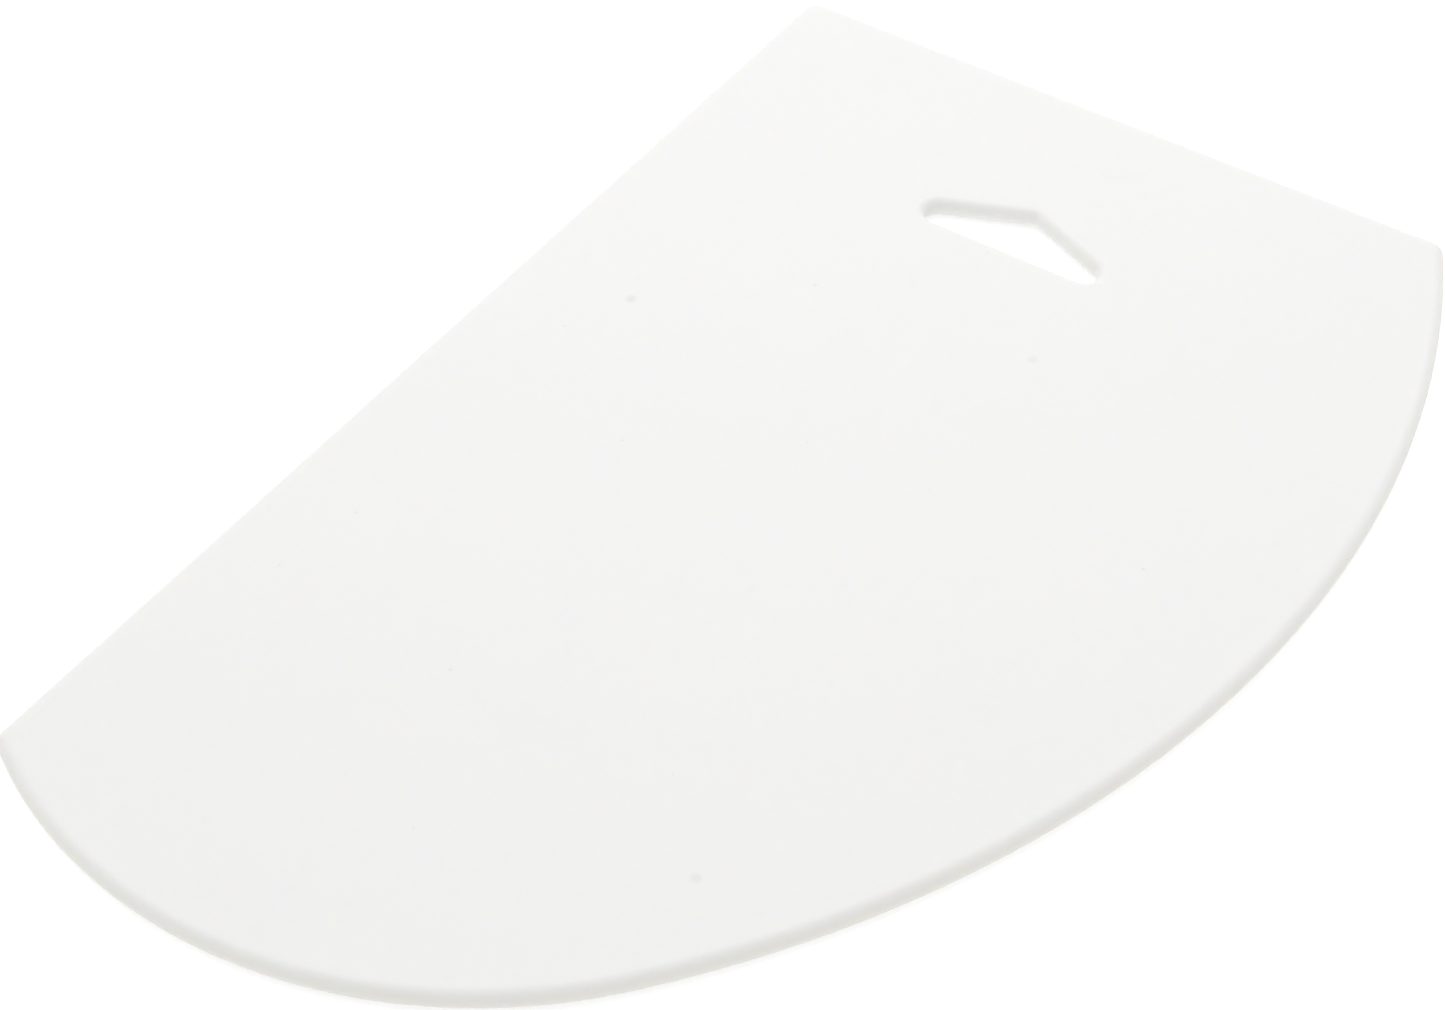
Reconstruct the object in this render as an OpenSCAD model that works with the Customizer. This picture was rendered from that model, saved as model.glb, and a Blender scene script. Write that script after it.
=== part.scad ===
// Transfer board: one stiff sheet of white plastic that bridges two seats.
// The sheet lies flat, with its underside on z = 0 and its long straight edge along X.
// The short straight edge is at the low-X end, and the hand hole is next to it.
// The origin is under the middle of the board's bounding box.

/* [Board outline] */
// Length of the long straight edge, measured to its sharp corners
long_edge = 600; // [540:5:760]
// Length of the short straight edge, measured to its sharp corners
short_edge = 350; // [280:5:440]
// How far the curved front stands out beyond the short straight edge
front_bulge = 53; // [40:1:70]
// Distance from the short straight edge to the widest place
widest_at = 225; // [180:5:270]
// Radius of the rounded far end
end_radius = 217; // [170:1:235]
// Inside angle between the long straight edge and the rounded far end
end_angle = 122; // [112:1:130]
// Radius of the three corners, seen from above
corner_radius = 8; // [6:0.5:20]

/* [Sheet] */
// Thickness of the sheet
thickness = 10; // [6:0.5:16]
// Round-over on the outside rim, top and bottom
rim_rounding = 5; // [1:0.5:5.5]

/* [Hand hole] */
// Distance from the short straight edge to the straight side of the hole
hole_from_short_edge = 117.5; // [80:0.5:150]
// Distance from the long straight edge to the middle of the hole
hole_from_long_edge = 181.5; // [140:0.5:220]
// Depth of the triangle, from its straight side to its sharp point
hole_depth = 29.5; // [26:0.5:45]
// Angle between the straight side and each sloping side
hole_slope = 22.5; // [18:0.5:30]
// Radius of the two narrow ends of the hole
hole_end_radius = 6.5; // [4:0.5:8]
// Radius of the blunt point of the hole
hole_point_radius = 3.5; // [2:0.5:12]
// Round-over on the hole's edges, top and bottom
hole_rounding = 5; // [1:0.5:6]

/* [Hidden] */
half_turn = 180;
quarter_turn = 90;
// How far the hole cutter stands out of each face of the sheet
spare = 1;
// How far the rounded rim and the flat middle may overlap
longest_lap = 1;
// Two points closer than this are the same point
same_point = 0.001;
// Flat steps in each round-over
round_steps = 5;
// Largest turn, in degrees, and longest distance between two points of an outline
arc_step = 7.5;
chord_step = 8;

// The board's curved side is three arcs that run smoothly into one another:
// the shoulder, from the short edge to the widest place, then the front, then the far end.
board_width = short_edge + front_bulge;
end_lean = half_turn - end_angle;
end_centre = [long_edge - end_radius * sin(end_lean), end_radius * cos(end_lean)];
board_length = end_centre.x + end_radius;
board_middle = [board_length / 2, board_width / 2];

// The front arc is level at the widest place, and the end arc touches it from inside
front_run = end_centre.x - widest_at;
front_drop = board_width - end_centre.y;
front_radius = (pow(front_run, 2) + pow(front_drop, 2) - pow(end_radius, 2))
    / (2 * (front_drop - end_radius));
front_centre = [widest_at, board_width - front_radius];
front_start = bearing(front_centre, end_centre);

// The shoulder arc is level at the widest place and meets the short edge at its end
shoulder_radius = (pow(widest_at, 2) + pow(front_bulge, 2)) / (2 * front_bulge);
shoulder_centre = [widest_at, board_width - shoulder_radius];

// A round-over is never more than half of the sheet
rim_round = min(rim_rounding, thickness / 2);
hole_round = min(hole_rounding, thickness / 2);

// The rim reaches this far into the flat middle, so that the two are one piece.
// It stays short of the corners' centres.
rim_lap = min(longest_lap, (corner_radius - rim_round) / 2);

// Centres of the three corners, each touching both of its neighbours from inside
back_corner = [corner_radius, corner_radius];
end_corner = [
    end_centre.x + leg(end_radius - corner_radius, end_centre.y - corner_radius),
    corner_radius
];
short_corner = [
    corner_radius,
    shoulder_centre.y + leg(shoulder_radius - corner_radius, widest_at - corner_radius)
];
end_start = bearing(end_centre, end_corner);
shoulder_end = bearing(shoulder_centre, short_corner);

// The outline, anticlockwise: [centre, radius, start angle, sweep], joined by straight lines
BOARD_ARCS = [
    [end_corner, corner_radius, -quarter_turn, end_start + quarter_turn],
    [end_centre, end_radius, end_start, front_start - end_start],
    [front_centre, front_radius, front_start, quarter_turn - front_start],
    [shoulder_centre, shoulder_radius, quarter_turn, shoulder_end - quarter_turn],
    [short_corner, corner_radius, shoulder_end, half_turn - shoulder_end],
    [back_corner, corner_radius, half_turn, quarter_turn]
];

// The hand hole is a flat triangle with its point towards the short edge.
// Its end arcs touch the straight side and a sloping side, and its point arc touches both slopes.
hole_half = hole_depth / tan(hole_slope);
hole_end_reach = hole_half - hole_end_radius / tan(hole_slope / 2);
hole_end_x = hole_from_short_edge - hole_end_radius;
hole_point_x = hole_from_short_edge - hole_depth + hole_point_radius / cos(hole_slope);
hole_near_end = [hole_end_x, hole_from_long_edge - hole_end_reach];
hole_far_end = [hole_end_x, hole_from_long_edge + hole_end_reach];
hole_point = [hole_point_x, hole_from_long_edge];

HOLE_ARCS = [
    [hole_near_end, hole_end_radius, half_turn + hole_slope, half_turn - hole_slope],
    [hole_far_end, hole_end_radius, 0, half_turn - hole_slope],
    [hole_point, hole_point_radius, half_turn - hole_slope, 2 * hole_slope]
];

// Cross-section of the rim, from the lap on the underside round to the lap on top:
// [distance out from the outline, height]
RIM_SECTION = concat(
    [[-rim_round - rim_lap, 0]],
    [for (p = half_round(rim_round)) [p.x - rim_round, p.y]],
    [[-rim_round - rim_lap, thickness]]
);

// Cross-section of the hole's wall, from below the sheet to above it
HOLE_SECTION = concat(
    [[hole_round, -spare]],
    [for (p = half_round(hole_round)) [hole_round - p.x, p.y]],
    [[hole_round, thickness + spare]]
);

// The other short side of a right triangle
function leg(longest, side) = sqrt(pow(longest, 2) - pow(side, 2));

// Direction from one point to another
function bearing(from, to) = atan2(to.y - from.y, to.x - from.x);

// A point on an arc's circle, or outside it by grow
function on_arc(arc, angle, grow) = arc[0] + (arc[1] + grow) * [cos(angle), sin(angle)];

// Points along an arc, from its start to its end
function arc_points(arc, grow) =
    let (turn = min(arc_step, half_turn / PI * chord_step / arc[1]))
    let (steps = ceil(arc[3] / turn))
    [for (step = [0 : steps]) on_arc(arc, arc[2] + arc[3] * step / steps, grow)];

// Points round a closed outline of arcs, each radius larger by grow.
// Where two arcs touch, the point they share is kept once.
function outline(arcs, grow) =
    let (points = [for (arc = arcs) each arc_points(arc, grow)])
    let (count = len(points))
    [for (k = [0 : count - 1]) if (norm(points[(k + 1) % count] - points[k]) > same_point) points[k]];

// One edge rounded over: [distance out, depth below the face]
function round_over(radius) = [
    for (step = [0 : round_steps])
        let (turn = quarter_turn * step / round_steps)
        [radius * sin(turn), radius * (1 - cos(turn))]
];

// The side of the sheet from its underside to its top, both edges rounded over.
// With no flat band between the two round-overs, they share their middle point.
function half_round(radius) =
    let (lower = round_over(radius))
    let (last = thickness > 2 * radius ? round_steps : round_steps - 1)
    concat(lower, [for (step = [last : -1 : 0]) [lower[step].x, thickness - lower[step].y]]);

// Faces between two rings of a loft, each ring with size points
function quads(i, next_i, size) = [
    for (k = [0 : size - 1])
        let (next_k = (k + 1) % size)
        each [
            [i * size + k, next_i * size + k, next_i * size + next_k],
            [i * size + k, next_i * size + next_k, i * size + next_k]
        ]
];

// Points of a loft: the outline at each point of a cross-section
function loft_points(arcs, section) = [
    for (p = section)
        for (q = outline(arcs, p.x)) [q.x, q.y, p.y]
];

// The rounded rim: a closed ring all the way round the board
module rim() {
    size = len(outline(BOARD_ARCS, 0));
    count = len(RIM_SECTION);
    polyhedron(
        points = loft_points(BOARD_ARCS, RIM_SECTION),
        faces = [for (i = [0 : count - 1]) each quads(i, (i + 1) % count, size)]
    );
}

// The flat middle of the sheet, which ends inside the rim's lap
module flat_middle() {
    linear_extrude(thickness)
        polygon(outline(BOARD_ARCS, -rim_round - rim_lap / 2));
}

// Cutter for the hand hole, wider at both faces, where the edge is rounded over
module hole_cutter() {
    size = len(outline(HOLE_ARCS, 0));
    top = len(HOLE_SECTION) - 1;
    polyhedron(
        points = loft_points(HOLE_ARCS, HOLE_SECTION),
        faces = concat(
            [[for (k = [0 : size - 1]) k]],
            [for (i = [0 : top - 1]) each quads(i, i + 1, size)],
            [[for (k = [size - 1 : -1 : 0]) top * size + k]]
        )
    );
}

// The whole board
module board() {
    color("white")
        translate(-board_middle) {
            rim();
            difference() {
                flat_middle();
                hole_cutter();
            }
        }
}

board();
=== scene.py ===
import math

import bpy
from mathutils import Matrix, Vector


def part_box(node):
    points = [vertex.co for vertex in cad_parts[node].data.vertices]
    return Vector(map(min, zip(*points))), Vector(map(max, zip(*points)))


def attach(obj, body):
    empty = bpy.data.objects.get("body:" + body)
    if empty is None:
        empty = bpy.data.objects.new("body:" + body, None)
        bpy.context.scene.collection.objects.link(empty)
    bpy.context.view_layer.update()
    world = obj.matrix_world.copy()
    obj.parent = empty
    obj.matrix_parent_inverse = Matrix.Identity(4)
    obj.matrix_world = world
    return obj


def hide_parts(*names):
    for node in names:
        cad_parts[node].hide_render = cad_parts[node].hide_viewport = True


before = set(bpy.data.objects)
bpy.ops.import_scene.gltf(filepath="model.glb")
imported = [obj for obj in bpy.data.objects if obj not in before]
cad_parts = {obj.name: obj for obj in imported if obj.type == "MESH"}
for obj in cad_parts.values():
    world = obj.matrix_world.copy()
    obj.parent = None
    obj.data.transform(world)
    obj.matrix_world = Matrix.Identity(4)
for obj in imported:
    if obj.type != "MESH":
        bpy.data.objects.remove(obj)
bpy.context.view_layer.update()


# ---------------------------------------------------------------------------
# The outline of the board and of its hand hole.
# The maker saws the sheet along a template: two straight edges square to each other, and
# three arcs that run into one another. The hand hole is a flat triangle with round corners.
# ---------------------------------------------------------------------------
board_low, board_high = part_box("board")
thickness = board_high.z - board_low.z

long_edge = 0.600
short_edge = 0.350
front_bulge = 0.053
widest_at = 0.225
end_radius = 0.217
end_lean = math.radians(58)
corner_radius = 0.008

hole_base_x = 0.1175
hole_middle_y = 0.1815
hole_depth = 0.0295
hole_slope = math.radians(22.5)
hole_end_radius = 0.0065
hole_point_radius = 0.0035

finest_turn = math.radians(3)
longest_step = 0.004


def bearing(start, end):
    """Direction from one point to another."""
    return math.atan2(end.y - start.y, end.x - start.x)


def leg(longest, side):
    """The other short side of a right triangle."""
    return math.sqrt(longest**2 - side**2)


def at(centre, radius, angle):
    """A point on a circle."""
    return centre + radius * Vector((math.cos(angle), math.sin(angle)))


def walk(arcs):
    """Points along a closed outline of arcs (centre, radius, start, sweep), anticlockwise."""
    points = []
    for centre, radius, start, sweep in arcs:
        turn = min(finest_turn, longest_step / radius)
        steps = math.ceil(sweep / turn)
        for step in range(steps + 1):
            point = at(centre, radius, start + sweep * step / steps)
            if not points or (point - points[-1]).length > longest_step / 100:
                points.append(point)
    return points


quarter = math.pi / 2
board_width = short_edge + front_bulge

end_centre = Vector((long_edge - end_radius * math.sin(end_lean), end_radius * math.cos(end_lean)))
front_run = end_centre.x - widest_at
front_drop = board_width - end_centre.y
front_radius = (front_run**2 + front_drop**2 - end_radius**2) / (2 * (front_drop - end_radius))
front_centre = Vector((widest_at, board_width - front_radius))
front_start = bearing(front_centre, end_centre)

shoulder_radius = (widest_at**2 + front_bulge**2) / (2 * front_bulge)
shoulder_centre = Vector((widest_at, board_width - shoulder_radius))

back_corner = Vector((corner_radius, corner_radius))
end_corner = Vector((
    end_centre.x + leg(end_radius - corner_radius, end_centre.y - corner_radius),
    corner_radius,
))
short_corner = Vector((
    corner_radius,
    shoulder_centre.y + leg(shoulder_radius - corner_radius, widest_at - corner_radius),
))
end_start = bearing(end_centre, end_corner)
shoulder_end = bearing(shoulder_centre, short_corner)

board_outline = walk([
    (end_corner, corner_radius, -quarter, end_start + quarter),
    (end_centre, end_radius, end_start, front_start - end_start),
    (front_centre, front_radius, front_start, quarter - front_start),
    (shoulder_centre, shoulder_radius, quarter, shoulder_end - quarter),
    (short_corner, corner_radius, shoulder_end, math.pi - shoulder_end),
    (back_corner, corner_radius, math.pi, quarter),
])

hole_reach = hole_depth / math.tan(hole_slope) - hole_end_radius / math.tan(hole_slope / 2)
hole_end_x = hole_base_x - hole_end_radius
hole_point_x = hole_base_x - hole_depth + hole_point_radius / math.cos(hole_slope)
hole_outline = walk([
    (Vector((hole_end_x, hole_middle_y - hole_reach)), hole_end_radius,
     math.pi + hole_slope, math.pi - hole_slope),
    (Vector((hole_end_x, hole_middle_y + hole_reach)), hole_end_radius,
     0, math.pi - hole_slope),
    (Vector((hole_point_x, hole_middle_y)), hole_point_radius,
     math.pi - hole_slope, 2 * hole_slope),
])

# Both outlines go into one mesh of edges, at half the thickness of the sheet.
# Each runs with the plastic on its left or its right as the sweep of the edge needs it.
board_outline.reverse()
board_length = end_centre.x + end_radius
square_corner = (board_low + board_high) / 2 - Vector((board_length, board_width, 0)) / 2
template = bpy.data.meshes.new("board template")
points = [square_corner + point.to_3d() for point in board_outline + hole_outline]
edges = []
for first, count in ((0, len(board_outline)), (len(board_outline), len(hole_outline))):
    edges += [(first + k, first + (k + 1) % count) for k in range(count)]
template.from_pydata(points, edges, [])
in_hole = template.attributes.new("hand_hole", "BOOLEAN", "POINT")
in_hole.data.foreach_set("value", [k >= len(board_outline) for k in range(len(points))])


# ---------------------------------------------------------------------------
# The finish of the sheet.
# White polyethylene. The skin is as it came off the rolls, with faint lines, a few specks, three
# soft grey spots and light scuffs. The cut rim has painted shade, a darker and warmer white deeper
# into the cut; the wall of the hand hole gets only a little of it, so it stays nearly as white as the
# skin.
# ---------------------------------------------------------------------------
skin_white = (0.850, 0.850, 0.840, 1)
cloud_white = (0.842, 0.844, 0.836, 1)
# Painted shade for the cut edge: a darker, warmer white, strongest deep in the cut
edge_painted_shade = (0.822, 0.815, 0.780, 1)
speck_grey = (0.50, 0.50, 0.48, 1)
spot_grey = (0.66, 0.67, 0.67, 1)
scuff_grey = (0.76, 0.76, 0.75, 1)
# Each soft spot: along the long edge, in from it, across, and how grey
spots = ((0.244, 0.0585, 0.0064, 0.40), (0.178, 0.2315, 0.0060, 0.24), (0.505, 0.272, 0.0060, 0.28))


def add(tree, kind, *wires, **settings):
    """A new node with its settings, and each wire (input, what feeds it) joined or set."""
    node = tree.nodes.new(kind)
    for name, value in settings.items():
        setattr(node, name, value)
    for socket, source in wires:
        if isinstance(source, bpy.types.NodeSocket):
            tree.links.new(source, node.inputs[socket])
        else:
            node.inputs[socket].default_value = source
    return node


def new_group(kind, name, inputs, outputs):
    """An empty node group with its sockets, and its input and output nodes."""
    tree = bpy.data.node_groups.new(name, kind)
    for socket, socket_type, value in inputs:
        made = tree.interface.new_socket(socket, in_out="INPUT", socket_type=socket_type)
        if value is not None:
            made.default_value = value
    for socket, socket_type in outputs:
        tree.interface.new_socket(socket, in_out="OUTPUT", socket_type=socket_type)
    return tree, tree.nodes.new("NodeGroupInput").outputs, tree.nodes.new("NodeGroupOutput").inputs


def sheet_grain():
    """Height of the skin: a fine orange peel, and long faint lines from the rolls."""
    tree, given, result = new_group(
        "ShaderNodeTree", "sheet grain",
        [("Vector", "NodeSocketVector", None), ("Peel Scale", "NodeSocketFloat", 700),
         ("Line Scale", "NodeSocketFloat", 260), ("Line Share", "NodeSocketFloat", 0.35)],
        [("Height", "NodeSocketFloat")])
    peel = add(tree, "ShaderNodeTexNoise", ("Vector", given["Vector"]),
               ("Scale", given["Peel Scale"]), ("Detail", 3), ("Roughness", 0.55))
    drawn = add(tree, "ShaderNodeVectorMath", (0, given["Vector"]), (1, (0.02, 1, 1)),
                operation="MULTIPLY")
    lines = add(tree, "ShaderNodeTexNoise", ("Vector", drawn.outputs[0]),
                ("Scale", given["Line Scale"]), ("Detail", 2), ("Roughness", 0.5))
    mixed = add(tree, "ShaderNodeMix", ("Factor", given["Line Share"]),
                ("A", peel.outputs["Fac"]), ("B", lines.outputs["Fac"]))
    tree.links.new(mixed.outputs["Result"], result["Height"])
    return tree


def hairline_scuffs():
    """Mask of short fine scratches that lie in patches, where hands and clothes rub."""
    tree, given, result = new_group(
        "ShaderNodeTree", "hairline scuffs",
        [("Vector", "NodeSocketVector", None), ("Scratch Scale", "NodeSocketFloat", 24),
         ("Width", "NodeSocketFloat", 0.004), ("Patch Scale", "NodeSocketFloat", 9)],
        [("Mask", "NodeSocketFloat")])
    crossed = []
    for turn, stretch in ((0.5, (0.22, 1, 1)), (-0.9, (1, 0.16, 1)), (2.1, (0.12, 1, 1))):
        turned = add(tree, "ShaderNodeVectorRotate", ("Vector", given["Vector"]),
                     ("Axis", (0, 0, 1)), ("Angle", turn))
        drawn = add(tree, "ShaderNodeVectorMath", (0, turned.outputs[0]), (1, stretch),
                    operation="MULTIPLY")
        ripple = add(tree, "ShaderNodeTexNoise", ("Vector", drawn.outputs[0]),
                     ("Scale", given["Scratch Scale"]), ("Detail", 1))
        middle = add(tree, "ShaderNodeMath", (0, ripple.outputs["Fac"]), (1, 0.5),
                     operation="SUBTRACT")
        far = add(tree, "ShaderNodeMath", (0, middle.outputs[0]), operation="ABSOLUTE")
        line = add(tree, "ShaderNodeMapRange", ("Value", far.outputs[0]),
                   ("From Min", 0), ("From Max", given["Width"]), ("To Min", 1), ("To Max", 0))
        crossed.append(line.outputs["Result"])
    both = add(tree, "ShaderNodeMath", (0, crossed[0]), (1, crossed[1]), operation="MAXIMUM")
    every = add(tree, "ShaderNodeMath", (0, both.outputs[0]), (1, crossed[2]), operation="MAXIMUM")
    patch = add(tree, "ShaderNodeTexNoise", ("Vector", given["Vector"]),
                ("Scale", given["Patch Scale"]), ("Detail", 2))
    where = add(tree, "ShaderNodeMapRange", ("Value", patch.outputs["Fac"]),
                ("From Min", 0.54), ("From Max", 0.68))
    mask = add(tree, "ShaderNodeMath", (0, every.outputs[0]), (1, where.outputs["Result"]),
               operation="MULTIPLY")
    tree.links.new(mask.outputs[0], result["Mask"])
    return tree


def moulded_specks():
    """Mask of tiny dark specks in the plastic: one here and there, of mixed sizes."""
    tree, given, result = new_group(
        "ShaderNodeTree", "moulded specks",
        [("Vector", "NodeSocketVector", None), ("Specks Per Metre", "NodeSocketFloat", 14),
         ("Largest", "NodeSocketFloat", 0.0011), ("Share", "NodeSocketFloat", 0.5)],
        [("Mask", "NodeSocketFloat")])
    cells = add(tree, "ShaderNodeTexVoronoi", ("Vector", given["Vector"]),
                ("Scale", given["Specks Per Metre"]), voronoi_dimensions="2D")
    apart = add(tree, "ShaderNodeMath", (0, cells.outputs["Distance"]),
                (1, given["Specks Per Metre"]), operation="DIVIDE")
    chance = add(tree, "ShaderNodeSeparateColor", (0, cells.outputs["Color"]))
    kept = add(tree, "ShaderNodeMath", (0, chance.outputs[0]), (1, given["Share"]),
               operation="LESS_THAN")
    reach = add(tree, "ShaderNodeMath", (0, chance.outputs[1]), (1, given["Largest"]),
                operation="MULTIPLY")
    half = add(tree, "ShaderNodeMath", (0, reach.outputs[0]), (1, 0.5), operation="MULTIPLY")
    speck = add(tree, "ShaderNodeMapRange", ("Value", apart.outputs[0]),
                ("From Min", half.outputs[0]), ("From Max", reach.outputs[0]),
                ("To Min", 1), ("To Max", 0))
    mask = add(tree, "ShaderNodeMath", (0, speck.outputs["Result"]), (1, kept.outputs[0]),
               operation="MULTIPLY")
    tree.links.new(mask.outputs[0], result["Mask"])
    return tree


def soft_spot():
    """Mask of one grey spot with a soft, uneven edge."""
    tree, given, result = new_group(
        "ShaderNodeTree", "soft spot",
        [("Vector", "NodeSocketVector", None), ("Place", "NodeSocketVector", None),
         ("Size", "NodeSocketFloat", 0.003)],
        [("Mask", "NodeSocketFloat")])
    uneven = add(tree, "ShaderNodeTexNoise", ("Vector", given["Vector"]), ("Scale", 900),
                 ("Detail", 2))
    apart = add(tree, "ShaderNodeVectorMath", (0, given["Vector"]), (1, given["Place"]),
                operation="DISTANCE")
    share = add(tree, "ShaderNodeMath", (0, apart.outputs["Value"]), (1, given["Size"]),
                operation="DIVIDE")
    ragged = add(tree, "ShaderNodeMath", (0, uneven.outputs["Fac"]), (1, 0.35), (2, share.outputs[0]),
                 operation="MULTIPLY_ADD")
    mask = add(tree, "ShaderNodeMapRange", ("Value", ragged.outputs[0]),
               ("From Min", 0.35), ("From Max", 0.72), ("To Min", 1), ("To Max", 0),
               interpolation_type="SMOOTHSTEP")
    tree.links.new(mask.outputs["Result"], result["Mask"])
    return tree


def cloudy_tone():
    """Slow change in tone, from 0 to 1, across a hand's width."""
    tree, given, result = new_group(
        "ShaderNodeTree", "cloudy tone",
        [("Vector", "NodeSocketVector", None), ("Cloud Scale", "NodeSocketFloat", 5)],
        [("Tone", "NodeSocketFloat")])
    cloud = add(tree, "ShaderNodeTexNoise", ("Vector", given["Vector"]),
                ("Scale", given["Cloud Scale"]), ("Detail", 3), ("Roughness", 0.45))
    tone = add(tree, "ShaderNodeMapRange", ("Value", cloud.outputs["Fac"]),
               ("From Min", 0.3), ("From Max", 0.7))
    tree.links.new(tone.outputs["Result"], result["Tone"])
    return tree


def depth_from_faces():
    """Mask that is 0 on both flat faces and 1 once the cut is some way into the sheet."""
    tree, given, result = new_group(
        "ShaderNodeTree", "depth from faces",
        [("Vector", "NodeSocketVector", None), ("Mid Height", "NodeSocketFloat", 0.005),
         ("Full Depth", "NodeSocketFloat", 0.004)],
        [("Mask", "NodeSocketFloat")])
    height = add(tree, "ShaderNodeSeparateXYZ", (0, given["Vector"]))
    off = add(tree, "ShaderNodeMath", (0, height.outputs["Z"]), (1, given["Mid Height"]),
              operation="SUBTRACT")
    away = add(tree, "ShaderNodeMath", (0, off.outputs[0]), operation="ABSOLUTE")
    depth = add(tree, "ShaderNodeMath", (0, given["Mid Height"]), (1, away.outputs[0]),
                operation="SUBTRACT")
    mask = add(tree, "ShaderNodeMapRange", ("Value", depth.outputs[0]), ("From Min", 0),
               ("From Max", given["Full Depth"]), interpolation_type="SMOOTHSTEP")
    tree.links.new(mask.outputs["Result"], result["Mask"])
    return tree


grain_group = sheet_grain()
scuff_group = hairline_scuffs()
speck_group = moulded_specks()
spot_group = soft_spot()
cloud_group = cloudy_tone()
depth_group = depth_from_faces()


def white_polyethylene(name, edge_shade_share, roughness, peel_scale, line_share, bump_height, scuff_share):
    """One finish of the sheet, with every blemish in it, and painted shade on the cut edge in the
    share given.
    """
    material = bpy.data.materials.new(name)
    material.use_nodes = True
    tree = material.node_tree
    shader = tree.nodes["Principled BSDF"]
    shader.inputs["IOR"].default_value = 1.5
    shader.inputs["Specular IOR Level"].default_value = 0.4
    shader.inputs["Subsurface Weight"].default_value = 0.5
    shader.inputs["Subsurface Radius"].default_value = (1.0, 0.85, 0.6)
    shader.inputs["Subsurface Scale"].default_value = 0.004
    place = add(tree, "ShaderNodeTexCoord").outputs["Object"]

    def grouped(group, *wires):
        node = tree.nodes.new("ShaderNodeGroup")
        node.node_tree = group
        for socket, source in (("Vector", place), *wires):
            if isinstance(source, bpy.types.NodeSocket):
                tree.links.new(source, node.inputs[socket])
            else:
                node.inputs[socket].default_value = source
        return node.outputs[0]

    def tinted(colour, tint, mask, share):
        strength = add(tree, "ShaderNodeMath", (0, mask), (1, share), operation="MULTIPLY")
        blended = tree.nodes.new("ShaderNodeMix")
        blended.data_type = "RGBA"
        factor, first, second = (blended.inputs[k] for k in (0, 6, 7))
        tree.links.new(strength.outputs[0], factor)
        if isinstance(colour, bpy.types.NodeSocket):
            tree.links.new(colour, first)
        else:
            first.default_value = colour
        second.default_value = tint
        return blended.outputs[2]

    scuffs = grouped(scuff_group)
    colour = tinted(skin_white, cloud_white, grouped(cloud_group), 0.5)
    # Painted shade on the cut edge, laid on more strongly deeper into the cut
    if edge_shade_share:
        depth = grouped(depth_group, ("Mid Height", board_low.z + thickness / 2))
        colour = tinted(colour, edge_painted_shade, depth, edge_shade_share)
    colour = tinted(colour, scuff_grey, scuffs, scuff_share)
    colour = tinted(colour, speck_grey, grouped(speck_group), 0.2)
    for x, y, size, share in spots:
        spot = grouped(spot_group, ("Place", square_corner + Vector((x, y, thickness / 2))),
                       ("Size", size))
        colour = tinted(colour, spot_grey, spot, share)
    tree.links.new(colour, shader.inputs["Base Color"])

    rough = add(tree, "ShaderNodeMapRange", ("Value", scuffs),
                ("To Min", roughness), ("To Max", roughness + 0.15))
    tree.links.new(rough.outputs["Result"], shader.inputs["Roughness"])
    height = grouped(grain_group, ("Peel Scale", peel_scale), ("Line Share", line_share))
    bump = add(tree, "ShaderNodeBump", ("Height", height), ("Strength", 0.3),
               ("Distance", bump_height))
    tree.links.new(bump.outputs["Normal"], shader.inputs["Normal"])
    return material


skin = white_polyethylene("white polyethylene skin", 0, 0.46, 700, 0.35, 0.00004, 0.07)
# The rim takes the full painted shade; the hand hole wall takes only a little, so it stays lighter
rim_finish_painted_shade = white_polyethylene("routed polyethylene edge with painted shade", 1, 0.52, 1400, 0.0, 0.00006, 0.05)
hole_finish_light_painted_shade = white_polyethylene("hand hole edge with light painted shade", 0.15, 0.50, 1400, 0.0, 0.00006, 0.05)


# ---------------------------------------------------------------------------
# The board.
# One piece of sheet, about 10 mm thick and stiff enough to sit on between two seats. A router
# with a round-over bit runs round the rim and round the hand hole, first on one face and then
# on the other, so that both are half circles and nothing sharp is left to the touch.
# ---------------------------------------------------------------------------
rim_rounding = thickness / 2
hole_rounding = thickness / 2
flat_lap = 0.0006
rounding_steps = 10
weld_distance = 0.00002
# A face whose normal points up or down at least this much belongs to the flat skin
level_enough = 0.9999


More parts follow.
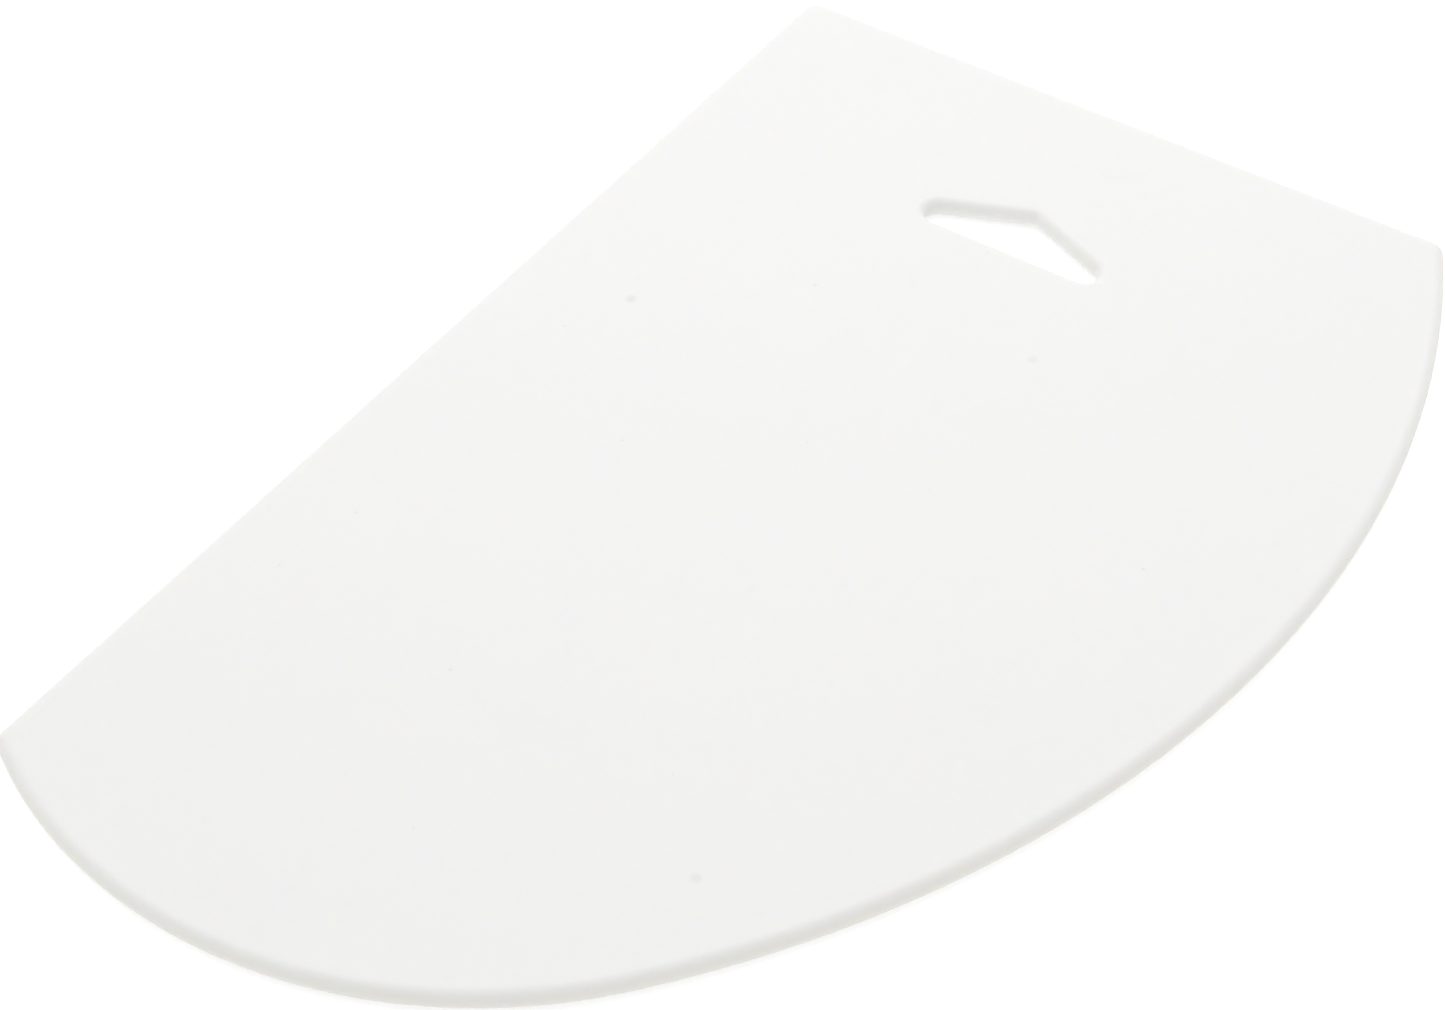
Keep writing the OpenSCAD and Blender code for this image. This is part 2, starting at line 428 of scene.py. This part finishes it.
def routed_board():
    """Geometry Nodes tree: sweeps a rounded edge along both outlines and closes the two faces."""
    tree, given, result = new_group(
        "GeometryNodeTree", "routed board",
        [("Outlines", "NodeSocketGeometry", None), ("Thickness", "NodeSocketFloat", 0.01),
         ("Rim Rounding", "NodeSocketFloat", 0.005), ("Hole Rounding", "NodeSocketFloat", 0.005),
         ("Flat Lap", "NodeSocketFloat", 0.0006), ("Rounding Steps", "NodeSocketInt", 8),
         ("Skin", "NodeSocketMaterial", None), ("Cut Edge", "NodeSocketMaterial", None),
         ("Hole Edge", "NodeSocketMaterial", None)],
        [("Board", "NodeSocketGeometry")])
    in_hole = add(tree, "GeometryNodeInputNamedAttribute", ("Name", "hand_hole"),
                  data_type="BOOLEAN")
    parted = add(tree, "GeometryNodeSeparateGeometry", (0, given["Outlines"]),
                 (1, in_hole.outputs["Attribute"]), domain="POINT")
    swept = add(tree, "GeometryNodeJoinGeometry")
    for loop, rounding in ((1, given["Rim Rounding"]), (0, given["Hole Rounding"])):
        path = add(tree, "GeometryNodeMeshToCurve", ("Mesh", parted.outputs[loop]))
        upright = add(tree, "GeometryNodeSetCurveNormal", ("Curve", path.outputs[0]), mode="Z_UP")
        depth = add(tree, "ShaderNodeMath", (0, rounding), (1, given["Flat Lap"]), operation="ADD")
        oblong = add(tree, "GeometryNodeCurvePrimitiveQuadrilateral",
                     ("Width", depth.outputs[0]), ("Height", given["Thickness"]))
        opened = add(tree, "GeometryNodeSetSplineCyclic", (0, oblong.outputs[0]), ("Cyclic", False))
        half = add(tree, "ShaderNodeMath", (0, depth.outputs[0]), (1, 0.5), operation="MULTIPLY")
        inward = add(tree, "ShaderNodeCombineXYZ", ("X", half.outputs[0]))
        moved = add(tree, "GeometryNodeTransform", (0, opened.outputs[0]),
                    ("Translation", inward.outputs[0]))
        profile = add(tree, "GeometryNodeFilletCurve", ("Curve", moved.outputs[0]),
                      ("Count", given["Rounding Steps"]), ("Radius", rounding), mode="POLY")
        edge = add(tree, "GeometryNodeCurveToMesh", ("Curve", upright.outputs[0]),
                   ("Profile Curve", profile.outputs[0]))
        tree.links.new(edge.outputs[0], swept.inputs[0])

    # The open borders of the swept edges are where the two flat faces begin
    beside = add(tree, "GeometryNodeInputMeshEdgeNeighbors")
    border = add(tree, "FunctionNodeCompare", (2, beside.outputs[0]), (3, 1),
                 data_type="INT", operation="EQUAL")
    position = add(tree, "GeometryNodeInputPosition")
    height = add(tree, "ShaderNodeSeparateXYZ", (0, position.outputs[0]))
    middle = add(tree, "ShaderNodeMath", (0, given["Thickness"]), (1, 0.5), operation="MULTIPLY")
    whole = add(tree, "GeometryNodeJoinGeometry")
    tree.links.new(swept.outputs[0], whole.inputs[0])
    for upper in (True, False):
        side = add(tree, "ShaderNodeMath", (0, height.outputs["Z"]), (1, middle.outputs[0]),
                   operation="GREATER_THAN" if upper else "LESS_THAN")
        chosen = add(tree, "FunctionNodeBooleanMath", (0, border.outputs[0]),
                     (1, side.outputs[0]), operation="AND")
        rings = add(tree, "GeometryNodeMeshToCurve", ("Mesh", swept.outputs[0]),
                    ("Selection", chosen.outputs[0]))
        face = add(tree, "GeometryNodeFillCurve", ("Curve", rings.outputs[0]), mode="TRIANGLES")
        if upper:
            lift = add(tree, "ShaderNodeCombineXYZ", ("Z", given["Thickness"]))
            placed = add(tree, "GeometryNodeSetPosition", ("Geometry", face.outputs[0]),
                         ("Offset", lift.outputs[0]))
        else:
            placed = add(tree, "GeometryNodeFlipFaces", ("Mesh", face.outputs[0]))
        tree.links.new(placed.outputs[0], whole.inputs[0])

    welded = add(tree, "GeometryNodeMergeByDistance", ("Geometry", whole.outputs[0]),
                 ("Distance", weld_distance))
    smooth = add(tree, "GeometryNodeSetShadeSmooth", ("Geometry", welded.outputs[0]))
    normal = add(tree, "GeometryNodeInputNormal")
    lean = add(tree, "ShaderNodeSeparateXYZ", (0, normal.outputs[0]))
    upright = add(tree, "ShaderNodeMath", (0, lean.outputs["Z"]), operation="ABSOLUTE")
    flat = add(tree, "ShaderNodeMath", (0, upright.outputs[0]), (1, level_enough),
               operation="GREATER_THAN")
    real = add(tree, "GeometryNodeRealizeInstances", ("Geometry", smooth.outputs[0]))
    all_cut = add(tree, "GeometryNodeSetMaterial", ("Geometry", real.outputs[0]),
                  ("Material", given["Cut Edge"]))
    hole_cut = add(tree, "GeometryNodeSetMaterial", ("Geometry", all_cut.outputs[0]),
                   ("Selection", in_hole.outputs["Attribute"]), ("Material", given["Hole Edge"]))
    finished = add(tree, "GeometryNodeSetMaterial", ("Geometry", hole_cut.outputs[0]),
                   ("Selection", flat.outputs[0]), ("Material", given["Skin"]))
    tree.links.new(finished.outputs[0], result["Board"])
    return tree


board = bpy.data.objects.new("routed_board", template)
bpy.context.scene.collection.objects.link(board)
routing = board.modifiers.new("routed board", "NODES")
routing.node_group = routed_board()
socket_of = {item.name: item.identifier for item in routing.node_group.interface.items_tree
             if item.in_out == "INPUT"}
for size, value in (("Thickness", thickness), ("Rim Rounding", rim_rounding),
                    ("Hole Rounding", hole_rounding), ("Flat Lap", flat_lap),
                    ("Rounding Steps", rounding_steps), ("Skin", skin), ("Cut Edge", rim_finish_painted_shade),
                    ("Hole Edge", hole_finish_light_painted_shade)):
    routing[socket_of[size]] = value
depsgraph = bpy.context.evaluated_depsgraph_get()
routed = bpy.data.meshes.new_from_object(board.evaluated_get(depsgraph), depsgraph=depsgraph)
board.modifiers.remove(routing)
board.data = routed
for index in reversed(range(len(routed.materials))):
    if routed.materials[index] is None:
        routed.materials.pop(index=index)
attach(board, "root")
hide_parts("board")


# ---------------------------------------------------------------------------
# The table it lies on.
# A plain matt white light table, lit faintly from below so that shadows stay soft, and wide
# enough to fill every view.
# ---------------------------------------------------------------------------
floor_size = 14
floor_gap = 0.0003
floor_mesh = bpy.data.meshes.new("table top")
reach = floor_size / 2
floor_height = board_low.z - floor_gap
floor_mesh.from_pydata([(x, y, floor_height) for x, y in
                        ((-reach, -reach), (reach, -reach), (reach, reach), (-reach, reach))],
                       [], [(0, 1, 2, 3)])
floor = bpy.data.objects.new("table_top", floor_mesh)
bpy.context.scene.collection.objects.link(floor)
matt_white = bpy.data.materials.new("matt white table")
matt_white.use_nodes = True
table_shader = matt_white.node_tree.nodes["Principled BSDF"]
table_shader.inputs["Base Color"].default_value = (0.76, 0.76, 0.76, 1)
table_shader.inputs["Roughness"].default_value = 0.9
table_shader.inputs["Specular IOR Level"].default_value = 0.1
table_shader.inputs["Emission Color"].default_value = (1, 1, 1, 1)
table_shader.inputs["Emission Strength"].default_value = 0.40
floor_mesh.materials.append(matt_white)


# ---------------------------------------------------------------------------
# Studio light and camera.
# A high-key table: even white light from all round, with one large soft box behind the short
# straight edge and a second one overhead. The room is dimmer on the side of the curved front.
# ---------------------------------------------------------------------------
scene = bpy.context.scene
scene.view_settings.view_transform = "Standard"
dim_side = (0.83, 0.557, 0)
surround = bpy.data.worlds.new("white surround")
surround.use_nodes = True
room = surround.node_tree
room.nodes["Background"].inputs["Color"].default_value = (1, 1, 1, 1)
way = add(room, "ShaderNodeTexCoord")
towards = add(room, "ShaderNodeVectorMath", (0, way.outputs["Generated"]), (1, dim_side),
              operation="DOT_PRODUCT")
level = add(room, "ShaderNodeMapRange", ("Value", towards.outputs["Value"]), ("From Min", 0),
            ("From Max", 1), ("To Min", 0.76), ("To Max", 0.57), interpolation_type="SMOOTHSTEP")
room.links.new(level.outputs["Result"], room.nodes["Background"].inputs["Strength"])
scene.world = surround


def soft_box(name, place, width, height, power):
    """A soft box of that size, turned towards the board."""
    light = bpy.data.lights.new(name, "AREA")
    light.shape = "RECTANGLE"
    light.size = width
    light.size_y = height
    light.energy = power
    box = bpy.data.objects.new(name, light)
    box.location = place
    box.rotation_mode = "QUATERNION"
    box.rotation_quaternion = (-Vector(place)).to_track_quat("-Z", "Y")
    scene.collection.objects.link(box)
    return box


soft_box("soft box behind the short edge", (-1.45, -0.8, 1.5), 2.0, 1.4, 11.5)
soft_box("soft box overhead", (0.1, -0.2, 2.4), 2.4, 2.4, 14)

aim = Vector((0.0157, -0.0335, board_high.z))
camera_azimuth = math.radians(123.86)
camera_elevation = math.radians(44.53)
camera_distance = 1.3093
towards_camera = Vector((
    math.sin(camera_azimuth) * math.cos(camera_elevation),
    -math.cos(camera_azimuth) * math.cos(camera_elevation),
    math.sin(camera_elevation),
))
lens = bpy.data.cameras.new("camera")
lens.lens = 76.68
lens.sensor_width = 36
camera = bpy.data.objects.new("camera", lens)
camera.location = aim + camera_distance * towards_camera
camera.rotation_mode = "QUATERNION"
camera.rotation_quaternion = (-towards_camera).to_track_quat("-Z", "Y")
scene.collection.objects.link(camera)
scene.camera = camera
